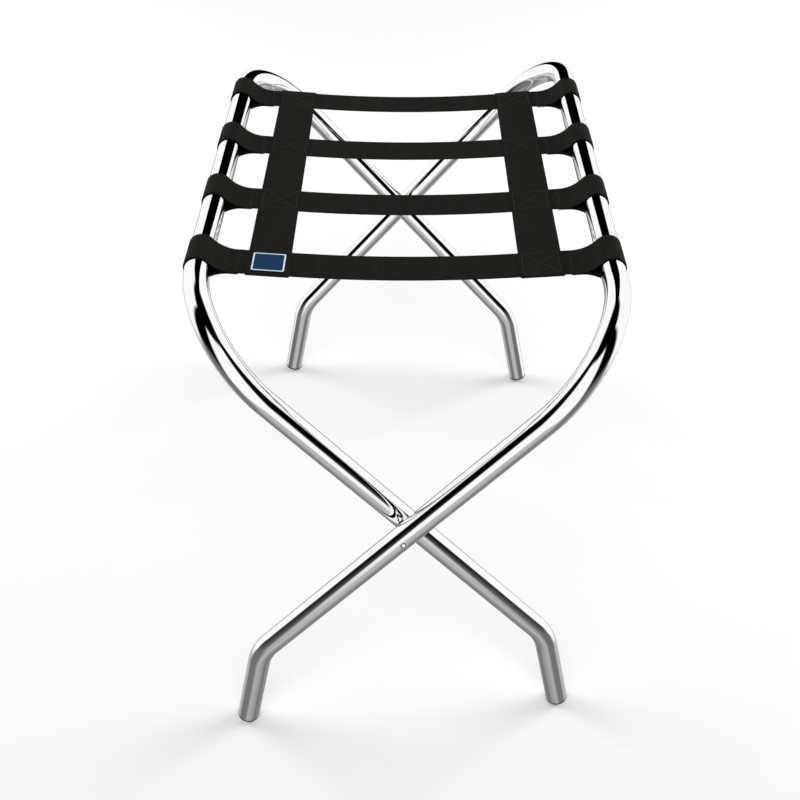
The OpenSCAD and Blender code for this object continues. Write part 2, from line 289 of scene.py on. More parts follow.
# %% The tube's skin
def tube(name, line, mirror=1, around=96, lip=0.0002):
    """Closed tube round a middle line.

    Outer wall: p + r (side cos t + (along x side) sin t). The bore runs back inside it, and the two walls
    join over a rounded lip at each end. mirror = -1 turns the frame round, by half a turn about z.
    """
    points, along, side = (v * np.array([mirror, mirror, 1]) for v in line)
    rise = np.array([0, 0.3, 0.7, 1.0])
    start, end = points[0], points[-1]
    lip_in = lip * (1 - np.sqrt(1 - (1 - rise) ** 2))
    rows = np.concatenate([start + along[0] * lip * rise[:-1, None], points[1:-1],
                           end - along[-1] * lip * rise[:-1][::-1, None]])
    ways = np.concatenate([np.tile(along[0], (3, 1)), along[1:-1], np.tile(along[-1], (3, 1))])
    sides = np.concatenate([np.tile(side[0], (3, 1)), side[1:-1], np.tile(side[-1], (3, 1))])
    radius = np.full(len(rows), TUBE_R)
    radius[:3] -= lip_in[:-1]
    radius[-3:] -= lip_in[:-1][::-1]
    bore = np.full(len(rows), BORE_R)
    rows, ways, sides = (np.concatenate([v, v[::-1]]) for v in (rows, ways, sides))
    radius = np.concatenate([radius, bore])
    t = np.linspace(0, 2 * np.pi, around, endpoint=False)
    out = sides[:, None] * np.cos(t)[:, None] + np.cross(ways, sides)[:, None] * np.sin(t)[:, None]
    grid = rows[:, None] + radius[:, None, None] * out
    quads, _, _ = skin(len(rows), around, wrap_rows=True, wrap_cols=True)
    half = len(rows) // 2
    normals = np.concatenate([out[:half], -out[half:]])
    return make_mesh(name, grid, [quads], normals=normals)


inner_frame = tube("inner_frame_tube", inner_line)
outer_frame = tube("outer_frame_tube", frame_line(OUTER_Y), mirror=-1)
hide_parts("inner_frame")
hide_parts("outer_frame")
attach(inner_frame, "inner")
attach(outer_frame, "outer")

# %% [markdown]
# ## Turned pieces
# Rivets, washers and the plastic feet are all round, so each is a profile spun about an axis. The
# profile is a short list of corners. Every corner is then rounded by a small curve, because a sharp
# edge catches no light and looks drawn rather than made.

# %% Round a profile and spin it
POLE_R = 0.0001  # a profile ends this near the axis, and a small face closes the rest


def round_corners(profile, radius, steps=4):
    """Replaces each inner corner of an open profile by a quadratic curve that starts and ends radius away.

    With a and c the points on either side at that distance and b the corner, the curve is
    (1-s)^2 a + 2 s (1-s) b + s^2 c.
    """
    p = np.asarray(profile, float)
    before, corner, after = p[:-2], p[1:-1], p[2:]
    cut = np.minimum(radius, 0.45 * np.minimum(np.linalg.norm(corner - before, axis=1),
                                               np.linalg.norm(after - corner, axis=1)))[:, None]
    a = corner + unit(before - corner) * cut
    c = corner + unit(after - corner) * cut
    s = np.linspace(0, 1, steps)[None, :, None]
    curve = (1 - s) ** 2 * a[:, None] + 2 * s * (1 - s) * corner[:, None] + s**2 * c[:, None]
    return np.concatenate([p[:1], curve.reshape(-1, 2), p[-1:]])


def spin(profile, origin, axis, around=48, closed=False):
    """Points origin + z axis + r (u cos t + v sin t) for the profile's (r, z), with u and v square to it."""
    axis = unit(np.asarray(axis, float))
    u = unit(np.cross(axis, [0.3, 0.5, 0.8]))
    t = np.linspace(0, 2 * np.pi, around, endpoint=False)
    ring = u * np.cos(t)[:, None] + np.cross(axis, u) * np.sin(t)[:, None]
    r, z = np.asarray(profile).T
    grid = np.asarray(origin) + z[:, None, None] * axis + r[:, None, None] * ring
    quads, _, _ = skin(len(r), around, wrap_rows=closed, wrap_cols=True)
    return grid, ([quads] if closed else [quads, end_caps(len(r), around)])

# %% The rivets
def rivet_profile():
    """(r, z) from the top of the domed head, at z < 0, to the hollow in the rolled tail.

    The dome is half of an ellipse, (R sin(a), -H cos(a)).
    """
    a = np.linspace(0.005, math.pi / 2, 22)
    dome = np.stack([HEAD_R * np.sin(a), -FIT - HEAD_H * np.cos(a)], -1)
    grip = OUTER_Y - INNER_Y + 2 * TUBE_R + FIT
    tail = grip + TAIL_H
    shank = [(RIVET_R, -FIT), (RIVET_R, grip), (TAIL_R, grip), (TAIL_R, tail)]
    hollow = [(HOLLOW_R, tail), (HOLLOW_R, tail - HOLLOW_DEPTH), (POLE_R, tail - HOLLOW_DEPTH)]
    return np.concatenate([dome[:-1], round_corners([dome[-1], *shank, *hollow], EDGE_R)])


ENDS = (("front", -1), ("rear", 1))
rivets = []
for name, end in ENDS:
    origin = [0, end * (OUTER_Y + TUBE_R), PIVOT_HEIGHT]
    grid, faces = spin(rivet_profile(), origin, [0, -end, 0])
    rivets.append(make_mesh(f"{name}_rivet", grid, faces))
    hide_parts(f"{name}_pivot_rivet")
    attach(rivets[-1], "outer")

# %% The washers between the tubes
washers = []
half_gap = PIVOT_GAP / 2 - FIT
hole_r = RIVET_R + 2 * FIT
ring = [(hole_r, -half_gap), (WASHER_R, -half_gap), (WASHER_R, half_gap), (hole_r, half_gap)]
soft_ring = round_corners([ring[-1], *ring, ring[0]], WASHER_EDGE_R)[1:-1]
for name, end in ENDS:
    origin = [0, end * (OUTER_Y + INNER_Y) / 2, PIVOT_HEIGHT]
    grid, faces = spin(soft_ring, origin, [0, -end, 0], closed=True)
    washers.append(make_mesh(f"{name}_washer", grid, faces))
    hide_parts(f"{name}_pivot_washer")
    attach(washers[-1], "outer")

# %% The feet
def cap_profile():
    """(r, z) of a foot cap, up its own axis: the domed glide, the rim under the tube and the plug in it."""
    a = np.linspace(0.004, math.asin(TUBE_R / CAP_DOME_R) - 0.03, 40)
    dome = np.stack([CAP_DOME_R * np.sin(a), DOME_UP - CAP_DOME_R * np.cos(a)], -1)
    shoulder, top = TUBE_END_UP - FIT, TUBE_END_UP + CAP_PLUG
    rim = [(TUBE_R, RIM_UP), (TUBE_R, shoulder), (BORE_R - FIT, shoulder)]
    plug = [(BORE_R - FIT, top), (2 * POLE_R, top)]
    return np.concatenate([dome[:-1], round_corners([dome[-1], *rim, *plug], EDGE_R)])


caps = []
for body, end_y, sign in (("inner", INNER_Y, 1), ("outer", OUTER_Y, -1)):
    for name, end in ENDS:
        axis = [-sign * math.sin(FOOT_LEAN), 0, math.cos(FOOT_LEAN)]
        grid, faces = spin(cap_profile(), [sign * FOOT_X, end * end_y, 0], axis, around=64)
        grid[..., 2] = np.maximum(grid[..., 2], 0)
        caps.append(make_mesh(f"{body}_{name}_cap", grid, faces))
        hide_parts(f"{body}_{name}_foot_cap")
        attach(caps[-1], body)

# %% [markdown]
# ## Webbing
# Webbing is woven as a flat band with rounded edges. It is drawn here as that cross-section carried
# along the strap's path, with no simulation, because a strap under tension has a simple shape: a
# shallow sag, a straight slope, and a wrap round the rail. The path is worked out in the plane across the
# rack. Its UV map is in metres, u along the strap and v across it, so that the weave has the same size
# on every strap.

# %% The band's cross-section
def band_section(width=WEB_W, thick=WEB_T, flat_points=9, edge_points=5):
    """Closed loop (across, up): two flat faces and two rounded edges, whose ends follow half an ellipse."""
    edge = thick * 0.9
    across = np.linspace(-width / 2 + edge, width / 2 - edge, flat_points)
    a = np.linspace(math.pi / 2, -math.pi / 2, edge_points + 2)[1:-1]
    right = np.stack([width / 2 - edge + edge * np.cos(a), thick / 2 * np.sin(a)], -1)
    top = np.stack([across, np.full(flat_points, thick / 2)], -1)
    return np.concatenate([top, right, -top, -right])


section = band_section()
print("points round the webbing:", len(section))

# %% Carry a cross-section along a path
def band(name, path, place, cross=section):
    """Closed band: for path points (a, b) with normal n, place(a, b, across) puts each point in space.

    A point of the section at (across, up) sits at path + up * n in the path's plane and at across beside it.
    """
    step = np.gradient(path, axis=0)
    normal = unit(np.stack([-step[:, 1], step[:, 0]], -1))
    run = np.r_[0, np.cumsum(np.linalg.norm(np.diff(path, axis=0), axis=1))]
    flat = path[:, None] + cross[None, :, 1:] * normal[:, None]
    across = np.broadcast_to(cross[:, 0], flat.shape[:2])
    grid = place(flat[..., 0], flat[..., 1], across)
    rows, cols = len(path), len(cross)
    quads, row, col = skin(rows, cols, wrap_cols=True)
    caps = end_caps(rows, cols)
    uv = np.stack([run[row], cross[col % cols, 0]], -1)
    cap_uv = np.stack([np.broadcast_to(run[[0, -1]][:, None], caps.shape), cross[caps % cols, 0]], -1)
    thing = make_mesh(name, grid, [quads, caps], uv=[uv, cap_uv])
    print(f"  cut length {run[-1] * 1000:.1f} mm")
    return thing, run[-1]

# %% The path of a cross strap
def arc(centre, radius, first, last, step):
    """Points centre + radius (cos a, sin a), with a from first to last in steps no longer than step."""
    count = int(abs(last - first) * radius / step) + 2
    a = np.linspace(first, last, count)
    return np.asarray(centre) + radius * np.stack([np.cos(a), np.sin(a)], -1)


def slope_point(x, down=0.0):
    """Point of the straight slope at x, and down below the middle layer, square to it."""
    z = BED_Z + WEB_T / 2 + BED_RISE + (x - CROSSING_X) * math.tan(SLOPE)
    return np.array([x, z]) - down * np.array([-math.sin(SLOPE), math.cos(SLOPE)])


def half_strap(step=0.0012):
    """From the middle of a cross strap, over the right rail and back under to the end of the flap.

    Between the long straps it sags as a parabola. The slope is straight. The two gussets are arcs that
    leave the slope and touch the wrap round the rail. Their radius is (|g|^2 - w^2) / (2 (w +- g . up)),
    where w is the wrap's radius and g goes from the arc's start to the rail's middle.
    """
    up = np.array([-math.sin(SLOPE), math.cos(SLOPE)])
    rail = np.array([RAIL_X, RAIL_Z])
    x = np.linspace(0, CROSSING_X, int(CROSSING_X / step))
    sag = np.stack([x, BED_Z + WEB_T / 2 + BED_RISE * (x / CROSSING_X) ** 2], -1)
    x = np.linspace(CROSSING_X, SEAM_X, int((SEAM_X - CROSSING_X) / step))
    rise = np.stack([slope_point(v) for v in x])
    start = slope_point(SEAM_X)
    g = rail - start
    top_r = (g @ g - WRAP_R**2) / (2 * (WRAP_R + g @ up))
    top_c = start + top_r * up
    top_end = math.atan2(*(rail - top_c)[::-1])
    low = slope_point(TUCK_X, PLY)
    g = rail - low
    low_r = (g @ g - WRAP_R**2) / (2 * (WRAP_R - g @ up))
    low_c = low - low_r * up
    low_end = math.atan2(*(rail - low_c)[::-1])
    x = np.linspace(TUCK_X, FLAP_X, 8)
    flap = np.stack([slope_point(v, PLY) for v in x])
    line = np.concatenate([
        sag, rise,
        arc(top_c, top_r, SLOPE - math.pi / 2, top_end, step),
        arc(rail, WRAP_R, top_end + math.pi, low_end - math.pi, step / 2),
        arc(low_c, low_r, low_end, SLOPE + math.pi / 2, step),
        flap,
    ])
    return line[np.r_[True, np.linalg.norm(np.diff(line, axis=0), axis=1) > 1e-5]]


half = half_strap()
strap_path = np.concatenate([(half * [-1, 1])[:0:-1], half])
print("points along a cross strap:", len(strap_path))

cross_straps = []
for node, y in zip(CROSS_STRAPS, STRAP_Y):
    strap, cut = band(node + "_webbing", strap_path, lambda a, b, c, y=y: np.stack([a, y + c, b], -1))
    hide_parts(node)
    cross_straps.append(strap)

# %% [markdown]
# The long straps lie on the slopes of the cross straps. At the front and the rear each one folds
# round the edge of the end strap and is tucked back under it, so that its raw end is sewn out of
# sight. `on_slope` puts points that are drawn flat onto the left or the right slope.

# %% The long straps
END_Y = STRAP_Y[-1]
FOLD_Y = END_Y + WEB_W / 2 - WEB_T / 2
TUCK_TRIM = 0.0017
TUCK_L = WEB_W - TUCK_TRIM


def on_slope(side, x, y, z):
    """(x, y, z) drawn flat about the long strap's middle: x along the slope, z square to it."""
    c, s = math.cos(SLOPE), math.sin(SLOPE)
    base = slope_point(LONG_X)
    return np.stack([side * (base[0] + x * c - z * s), y + 0 * x, base[1] + x * s + z * c], -1)


def long_path(step=0.0015):
    """(y, z) from the end of the front tuck, round the fold and over the top, to the end of the rear tuck."""
    run = np.linspace(0, FOLD_Y, int(FOLD_Y / step))
    top = np.stack([run, np.full(len(run), PLY)], -1)
    fold = arc([FOLD_Y, 0], PLY, math.pi / 2, -math.pi / 2, 0.0003)
    back = np.linspace(FOLD_Y, FOLD_Y - TUCK_L, int(TUCK_L / step))
    tuck = np.stack([back, np.full(len(back), -PLY)], -1)
    half = np.concatenate([top, fold[1:], tuck[1:]])
    return np.concatenate([(half * [-1, 1])[:0:-1], half])


long_straps = []
for node, side in (("left_long_strap", -1), ("right_long_strap", 1)):
    strap, cut = band(node + "_webbing", long_path(), lambda a, b, c, s=side: on_slope(s, c, a, b))
    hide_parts(node)
    long_straps.append(strap)

# %% [markdown]
# ## Sewing
# A row of lockstitch is a line of short bars of thread, each pulled down into the cloth at both ends.
# One bar is a small closed grid of a few dozen faces. All the bars of a seam are made at once, by adding
# every bar's place and direction to that one grid. The thread shows on both faces of the straps.

# %% One stitch, many times
STITCH = 0.0027
THREAD_R = 0.00042
STITCH_DIP = 0.0003
SEAM_INSET = 0.003
SEW_BOX = WEB_W - 2 * SEAM_INSET


def stitch_shape(length=STITCH * 0.86, radius=THREAD_R, rows=7, cols=8):
    """A bar of thread: its radius is r (1 - s^6)^(1/2) at s from -1 to 1, and its ends dip by d s^4."""
    s = np.sin(np.linspace(-1.35, 1.35, rows))
    s = s / s[-1] * 0.995
    r = radius * np.sqrt(1 - s**6)
    t = np.linspace(0, 2 * np.pi, cols, endpoint=False)
    x = np.repeat(s[:, None] * length / 2, cols, 1)
    return np.stack([x, r[:, None] * np.cos(t), r[:, None] * np.sin(t) - STITCH_DIP * s[:, None] ** 4], -1)


def seam(a, b, pitch=STITCH):
    """Middles and directions of the stitches that fit on the line from a to b."""
    a, b = np.asarray(a, float), np.asarray(b, float)
    count = max(int(round(np.linalg.norm(b - a) / pitch)), 1)
    t = (np.arange(count) + 0.5) / count
    return a + (b - a) * t[:, None], np.tile(unit(b - a), (count, 1))


def sew(rows_of):
    """Joins seams, each a pair of middles and directions, into one pair of arrays."""
    return np.concatenate([m for m, _ in rows_of]), np.concatenate([d for _, d in rows_of])


def stitches(name, groups, place):
    """One object from groups of (middles, directions, height, face): face is 1 on top and -1 below."""
    shape = stitch_shape()
    along, across = shape[..., :1], shape[..., 1:2]
    every = []
    for middles, ways, height, face in groups:
        side = np.stack([-ways[:, 1], ways[:, 0]], -1)
        flat = middles[:, None, None] + along * ways[:, None, None] + across * side[:, None, None]
        z = np.broadcast_to(height + face * shape[..., 2], flat.shape[:-1])
        every.append(place(flat[..., 0], flat[..., 1], z))
    grid = np.concatenate(every)
    copies, rows, cols = grid.shape[:3]
    quads, row, col = skin(rows, cols, wrap_cols=True, copies=copies)
    caps = end_caps(rows, cols, copies)
    uv = np.stack([row / (rows - 1), col / cols], -1)
    thing = make_mesh(name, grid, [quads, caps], uv=[uv, np.zeros(caps.shape + (2,))])
    print(f"  {copies} stitches")
    return thing

# %% The box and cross at every crossing
def box_and_cross(y):
    """Four sides and two diagonals of a square, sewn through both straps at y."""
    h = SEW_BOX / 2
    a, b, c, d = (-h, y - h), (h, y - h), (h, y + h), (-h, y + h)
    return sew([seam(*line) for line in ((a, b), (b, c), (c, d), (d, a), (a, c), (b, d))])


# Height 0 is the middle of the cross strap. The label covers the front left crossing, so no seam is drawn
# there. At the two ends the seam goes through the tucked layer as well.
TOP = WEB_T / 2 + PLY
SUNK = THREAD_R * 0.45  # how deep a stitch's middle line lies in the cloth
threads = []
for node, side, crossings in (
    ("left_crossing_stitches", -1, STRAP_Y[1:]),
    ("right_crossing_stitches", 1, STRAP_Y),
):
    groups = []
    for y in crossings:
        bottom = -TOP if y in (STRAP_Y[0], STRAP_Y[-1]) else -WEB_T / 2
        groups += [(*box_and_cross(y), TOP - SUNK, 1), (*box_and_cross(y), bottom + SUNK, -1)]
    threads.append(stitches(node + "_thread", groups, lambda x, y, z, s=side: on_slope(s, x, y, z)))
    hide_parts(node)

# %% The rows that close the loops
for node, side in (("left_loop_stitches", -1), ("right_loop_stitches", 1)):
    groups = []
    for y in STRAP_Y:
        for row in (0.5, 1.5):
            x = (FLAP_X + row * ROW_PITCH - LONG_X) / math.cos(SLOPE)
            line = seam((x, y - SEW_BOX / 2), (x, y + SEW_BOX / 2))
            groups += [(*line, WEB_T / 2 - 1.6 * SUNK, 1), (*line, -PLY - WEB_T / 2 + SUNK, -1)]
    threads.append(stitches(node + "_thread", groups, lambda x, y, z, s=side: on_slope(s, x, y, z)))
    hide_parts(node)

# %% [markdown]
# ## The label
# A small woven label is sewn over the front left crossing. Its face is left plain, inside a raised
# border of pale thread. The cloth is a thin pillow: flat in the middle and rounded off at its edges,
# which follows |x/a|^n + |y/b|^n = 1 with a high power n, so that the corners stay nearly square.

# %% The label's cloth
LABEL_W, LABEL_L, LABEL_T = 0.030, 0.029, 0.0006
LABEL_MARGIN = 0.0013
LABEL_FORWARD = 0.0012


def rounded_square(t, a, b, power=14):
    """Points of |x/a|^n + |y/b|^n = 1 in the direction t."""
    c, s = np.cos(t), np.sin(t)
    reach = (np.abs(c) ** power + np.abs(s) ** power) ** (-1 / power)
    return np.stack([a * c * reach, b * s * reach], -1)


def pillow(width, length, thick, around=96):
    """Rings (x, y, z) from the bottom's middle, out round the edge and back to the top's middle."""
    shrink = np.array([0.02, 0.35, 0.7, 0.93, 0.975, 0.993, 1.0, 0.993, 0.975, 0.93, 0.7, 0.35, 0.02])
    height = np.array([0, 0, 0, 0, 0.04, 0.2, 0.5, 0.8, 0.96, 1, 1, 1, 1]) * thick
    t = np.linspace(0, 2 * np.pi, around, endpoint=False) + np.pi / around
    outline = rounded_square(t, width / 2, length / 2)
    flat = shrink[:, None, None] * outline
    z = np.broadcast_to(height[:, None, None], flat.shape[:2] + (1,))
    return np.concatenate([flat, z], -1)


def on_label(x, y, z):
    """Puts points onto the label's place: the front left crossing, a little forward of its middle."""
    return on_slope(-1, x, y - END_Y - LABEL_FORWARD, z + TOP + SEW_GAP)


rings = pillow(LABEL_W, LABEL_L, LABEL_T)
quads, _, _ = skin(*rings.shape[:2], wrap_cols=True)
closing = end_caps(*rings.shape[:2])
flat = rings.reshape(-1, 3)[:, :2]
laid = on_label(*np.moveaxis(rings, -1, 0))
label = make_mesh("label_cloth", laid, [quads, closing], uv=[flat[quads], flat[closing]])
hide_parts("label")

# %% The label's border
def border(width, length, band_w=0.0014, rise=0.00028, sunk=0.00005, around=128, across=9):
    """Satin border: a low arched strip, rise * cos(s) high, carried round the label's rounded square.

    Its flat underside is sunk into the cloth.
    """
    t = np.linspace(0, 2 * np.pi, around, endpoint=False) + np.pi / around
    s = np.linspace(-np.pi / 2, np.pi / 2, across)
    reach = np.sin(s) * band_w / 2
    outer = np.stack([rounded_square(t, width / 2 + d, length / 2 + d, power=30) for d in reach], 1)
    z = np.broadcast_to(rise * np.cos(s)[None, :, None] + LABEL_T - sunk, outer.shape[:2] + (1,))
    return np.concatenate([outer, z], -1)


strip = border(LABEL_W - 2 * LABEL_MARGIN, LABEL_L - 2 * LABEL_MARGIN)
quads, row, col = skin(*strip.shape[:2], wrap_rows=True, wrap_cols=True)
uv = np.stack([row / strip.shape[0], col / strip.shape[1]], -1)
label_border = make_mesh("label_border", on_label(*np.moveaxis(strip, -1, 0)), [quads], uv=[uv])
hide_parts("label_stitches")

# %% Bake the placing of the soft pieces into their points
soft_pieces = [*cross_straps, *long_straps, *threads, label, label_border]
for thing in soft_pieces:
    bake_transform(thing)
print(len(soft_pieces), "pieces bend with the fold")

# %% [markdown]
# ## Shader maths as Python
# A pattern in a material is a formula, and it reads best as one. `Wire` wraps one socket of a node
# tree. Adding, multiplying or dividing wires adds the Math nodes, and `node` adds any other kind.

# %% A socket that does arithmetic
class Wire:
    """One socket of a node tree. Its operators add Math nodes and return the wire of their result."""

    def __init__(self, tree, socket=None):
        self.tree, self.socket = tree, socket

    def node(self, kind, settings=(), inputs=(), output=0):
        """Adds a node: settings are set first, then each named input gets a value or a link."""
        made = self.tree.nodes.new(kind)
        for key, value in dict(settings).items():
            setattr(made, key, value)
        for key, value in dict(inputs).items():
            if isinstance(value, Wire):
                self.tree.links.new(value.socket, made.inputs[key])
            else:
                made.inputs[key].default_value = value
        return Wire(self.tree, made.outputs[output] if made.outputs else None)

    def math(self, operation, *values):
        return self.node("ShaderNodeMath", {"operation": operation}, dict(enumerate(values)))

    def __add__(self, other):
        return self.math("ADD", self, other)

    __radd__ = __add__

    def __sub__(self, other):
        return self.math("SUBTRACT", self, other)

    def __rsub__(self, other):
        return self.math("SUBTRACT", other, self)

    def __mul__(self, other):
        return self.math("MULTIPLY", self, other)

    __rmul__ = __mul__

    def __truediv__(self, other):
        return self.math("DIVIDE", self, other)

    def __rtruediv__(self, other):
        return self.math("DIVIDE", other, self)

    def __pow__(self, other):
        return self.math("POWER", self, other)

    def __rpow__(self, other):
        return self.math("POWER", other, self)

    def __abs__(self):
        return self.math("ABSOLUTE", self)

# %% A few named formulas
def sine(x):
    return x.math("SINE", x)


def larger(x, y):
    return x.math("MAXIMUM", x, y)


def smooth(x, low, high, start=0.0, end=1.0):
    """Goes from start to end as x goes from low to high, with no corner at either."""
    return x.node(
        "ShaderNodeMapRange", {"interpolation_type": "SMOOTHSTEP"},
        {"Value": x, "From Min": low, "From Max": high, "To Min": start, "To Max": end},
    )


def blend_colour(mask, first, second):
    """first where mask is 0 and second where it is 1. A colour is three numbers or a wire."""
    pick = [c if isinstance(c, Wire) else (*c, 1) for c in (first, second)]
    return mask.node(
        "ShaderNodeMix", {"data_type": "RGBA"}, {0: mask, 6: pick[0], 7: pick[1]}, output=2
    )


def noise(at, scale, detail=2.0):
    """Soft random pattern from 0 to 1, with about scale blobs to a metre."""
    return at.node("ShaderNodeTexNoise", {}, {"Vector": at, "Scale": scale, "Detail": detail})


def grey(level):
    """The colour whose red, green and blue are all level."""
    return level.node("ShaderNodeCombineColor", {}, {0: level, 1: level, 2: level})


def split(vector):
    """The three numbers of a vector, as wires."""
    parts = vector.node("ShaderNodeSeparateXYZ", {}, {0: vector}).socket.node
    return [Wire(vector.tree, out) for out in parts.outputs]


def bump(height, distance):
    """A normal that follows height, where a height of 1 stands distance metres proud."""
    return height.node("ShaderNodeBump", {}, {"Height": height, "Distance": distance})

# %% Start a material
def material(name, **fixed):
    """New material. Numbers and colours that are the same all over are set on the shader itself."""
    made = bpy.data.materials.new(name)
    made.use_nodes = True
    tree = made.node_tree
    shader = tree.nodes["Principled BSDF"]
    for key, value in fixed.items():
        shader.inputs[key.replace("_", " ")].default_value = value
    return made, shader, Wire(tree)


def plug(shader, **wires):
    """Links wires to the shader's sockets, named with _ for a space."""
    for key, wire in wires.items():
        wire.tree.links.new(wire.socket, shader.inputs[key.replace("_", " ")])


def dress(things, made):
    """Gives every thing the material."""
    for thing in things:
        thing.data.materials.append(made)
    print(f"{made.name} on {len(things)} pieces")

# %% [markdown]
# ## Chrome
# Plated tube is a clean mirror. What tells it from a computer's perfect one is slight: hands
# and luggage leave faint haze in patches, and the plate is finely rubbed where the feet stand on the
# floor. Both blur the reflection more than they darken it, so they go mostly into the roughness.

# %% Chrome for the tubes
chrome, shader, wire = material("chromed_tube", Metallic=1.0)
at = wire.node("ShaderNodeTexCoord", output="Object")
height = split(at)[2]
haze = smooth(noise(at, 14, 3), 0.45, 0.75)
rubbed = smooth(height, 0.05, 0.0) * smooth(noise(at, 260, 3), 0.4, 0.7)
tint = blend_colour(haze * 0.5 + rubbed * 0.5, (0.955, 0.957, 0.96), (0.93, 0.932, 0.935))
plug(shader, Base_Color=tint, Roughness=haze * 0.006 + rubbed * 0.05 + 0.004)
dress([inner_frame, outer_frame], chrome)

# %% Steel for the rivets
steel, shader, wire = material("rivet_steel", Metallic=1.0)
at = wire.node("ShaderNodeTexCoord", output="Object")
marks = smooth(noise(at, 900, 3), 0.35, 0.7)
plug(shader, Base_Color=blend_colour(marks, (0.93, 0.93, 0.935), (0.82, 0.82, 0.825)))
plug(shader, Roughness=marks * 0.04 + 0.015, Normal=bump(marks, 0.00002))
dress(rivets, steel)

# %% [markdown]
# ## Plastic
# The feet are moulded in dark grey plastic with a fine spark-eroded grain, and the part that slides on
# the floor is scuffed paler. The washers are smooth black nylon.

# %% Plastic for the feet and washers
plastic, shader, wire = material("foot_plastic", IOR=1.5)
at = wire.node("ShaderNodeTexCoord", output="Object")
grain = noise(at, 2600, 2)
scuff = smooth(split(at)[2], 0.0012, 0.0) * smooth(noise(at, 700, 4), 0.35, 0.65)
plug(shader, Base_Color=blend_colour(scuff, (0.075, 0.075, 0.078), (0.2, 0.2, 0.2)))
plug(shader, Roughness=grain * 0.15 + scuff * 0.15 + 0.42, Normal=bump(grain, 0.00006))
dress(caps, plastic)

nylon, shader, wire = material("washer_plastic", IOR=1.53)
at = wire.node("ShaderNodeTexCoord", output="Object")
grain = noise(at, 1500, 3)
plug(shader, Base_Color=blend_colour(grain, (0.03, 0.03, 0.03), (0.05, 0.05, 0.05)))
plug(shader, Roughness=grain * 0.2 + 0.3)
dress(washers, nylon)

# %% [markdown]
# ## The weave
# Webbing is a plain weave packed hard: narrow columns of warp run along the strap, and in
# each column the warp surfaces as short grains, half a grain out of step with the next column. The
# height of the cloth is that pattern of grains, made from sines of the UV map, which is in metres. The
# dye is a warm near-black. The colour is painted darker between the grains and lighter on their tops:
# painted shade in the hollows of the weave. Some of the threads that run across took less of the dye,
# and patches are worn paler.

# %% Webbing
GRAIN = 0.0021
COLUMN = 0.00115


def weave(uv, grain, column):
    """Height from 0 to 1 of grains in columns, each column half a grain out of step with its neighbour."""
    u, v, _ = split(uv)
    number = v.math("FLOOR", v / column)
    step = v.math("PINGPONG", number, 1.0)
    along = abs(sine((u / grain + step * 0.5) * math.pi))
    across = abs(sine(v / column * math.pi))
    return along**0.6 * across**0.5


webbing, shader, wire = material("webbing", IOR=1.5, Specular_IOR_Level=0.08)
uv = wire.node("ShaderNodeTexCoord", output="UV")
at = wire.node("ShaderNodeTexCoord", output="Object")
u, v, _ = split(uv)
cloth = weave(uv, GRAIN, COLUMN)
threads_at = wire.node("ShaderNodeCombineXYZ", {}, {"X": u * 900, "Y": v * 25, "Z": split(at)[1] * 3})
picks = noise(threads_at, 1.0, 2)
worn = smooth(noise(at, 35, 4), 0.4, 0.75)
# Painted shade: the colour follows the weave's height, dark in the hollows between grains and lighter on top
tone_with_painted_shade = blend_colour(cloth, (0.0045, 0.0042, 0.0036), (0.0165, 0.0156, 0.0128))
tone_with_painted_shade = blend_colour(smooth(picks, 0.35, 0.75) * 0.3 + worn * 0.1, tone_with_painted_shade, (0.024, 0.0228, 0.0195))
plug(shader, Base_Color=tone_with_painted_shade, Roughness=0.9 - cloth * 0.18, Normal=bump(cloth, 0.00022))
dress([*cross_straps, *long_straps], webbing)

# %% Thread
thread, shader, wire = material("thread", IOR=1.5, Specular_IOR_Level=0.3)
u, v, _ = split(wire.node("ShaderNodeTexCoord", output="UV"))
twist = abs(sine((u * 2.5 + v) * math.pi))
# Painted shade: the thread's colour is darker in the grooves of its twist and lighter on the ridges
plug(shader, Base_Color=blend_colour(twist, (0.010, 0.0096, 0.0086), (0.029, 0.028, 0.025)))
plug(shader, Roughness=0.75 - twist * 0.2, Normal=bump(twist, 0.00008))
dress(threads, thread)

# %% [markdown]
# ## The label's finish
# The label is woven much finer than the straps, in a navy satin with a faint diagonal. Its colour is
# painted darker in the hollows of the fine weave and between the diagonal ridges, as shade. Its border
# is satin stitch: smooth pale thread laid side by side across the strip, painted darker between the
# strands as shade.

# %% Label cloth and border
navy, shader, wire = material("label_cloth", IOR=1.5, Specular_IOR_Level=0.15)
uv = wire.node("ShaderNodeTexCoord", output="UV")
u, v, _ = split(uv)
fine = weave(uv, 0.0006, 0.0003)
twill = abs(sine((u + v) / 0.0011 * math.pi))
# Painted shade: the navy is darker in the hollows of the fine weave and between the twill's ridges
tone_with_painted_shade = blend_colour(fine * 0.6 + twill * 0.4, (0.0015, 0.0245, 0.08), (0.008, 0.048, 0.13))
plug(shader, Base_Color=tone_with_painted_shade, Roughness=0.75 - fine * 0.2, Normal=bump(fine + twill * 0.5, 0.00005))
dress([label], navy)

white, shader, wire = material("label_thread", IOR=1.5)
u, v, _ = split(wire.node("ShaderNodeTexCoord", output="UV"))
strands = abs(sine(u * 260 * math.pi))
# Painted shade: the pale thread is darker between the strands and lighter on each strand
plug(shader, Base_Color=blend_colour(strands, (0.76, 0.82, 0.91), (0.91, 0.96, 1.0)))
plug(shader, Roughness=0.6 - strands * 0.2, Normal=bump(strands, 0.00006))
dress([label_border], white)

# %% [markdown]
# ## The studio
# Chrome shows the room rather than itself, so the room is built with as much care as the rack. A white
# sky surrounds everything. Inside it hangs a shell with a dark gap on each side of the rack and a black
# top, which give the tubes crisp black bands. Between the gaps the shell is clear, and the sky shines
# through as a pale wall. Its lower half is a grey studio floor, and chrome sees that one. The camera
# doesn't see the shell at all.

